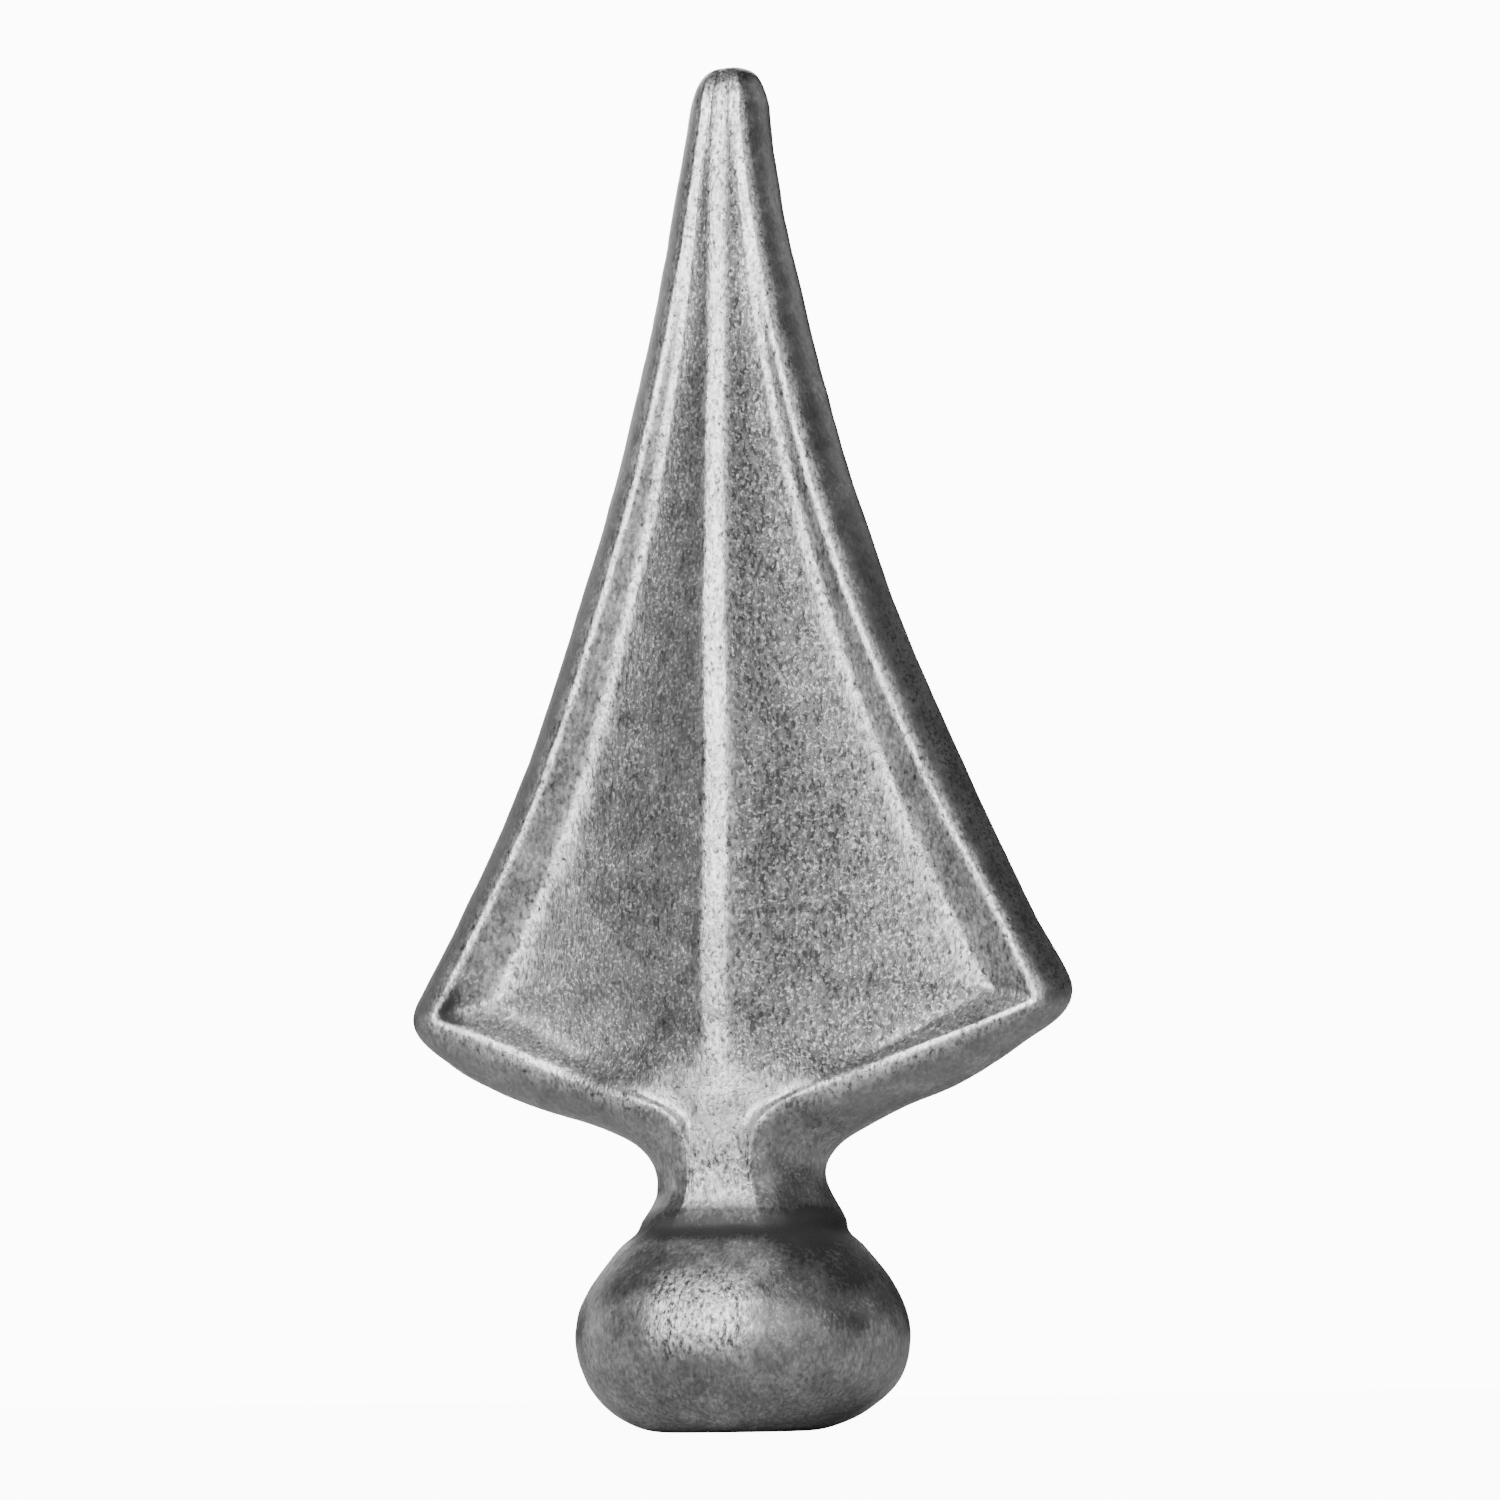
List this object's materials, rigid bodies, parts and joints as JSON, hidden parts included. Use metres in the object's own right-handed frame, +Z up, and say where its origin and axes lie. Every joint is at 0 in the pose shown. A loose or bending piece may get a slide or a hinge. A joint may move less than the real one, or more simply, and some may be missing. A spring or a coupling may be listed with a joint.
{
  "type": "fence finial",
  "caption": "Solid forged steel spearhead finial: a kite-shaped blade with a raised rim, hollow fields and a centre rib on a square neck and a squat bulb with a flat underside.",
  "frame": {"origin": "centre of the flat underside of the bulb, where the finial meets the picket or rail it is fixed on", "axes": "+Z up the axis to the tip; X across the blade; the blade's front face towards -Y"},
  "size_m": [0.0742, 0.0358, 0.15],
  "materials": {
    "forged_steel": "bare hot forged mild steel, shot blasted, grainy in the hollow fields and worn smoother and brighter on the rib, rim and neck"
  },
  "bodies": {
    "root": {"spear_finial": "forged_steel"}
  },
  "joints": []
}
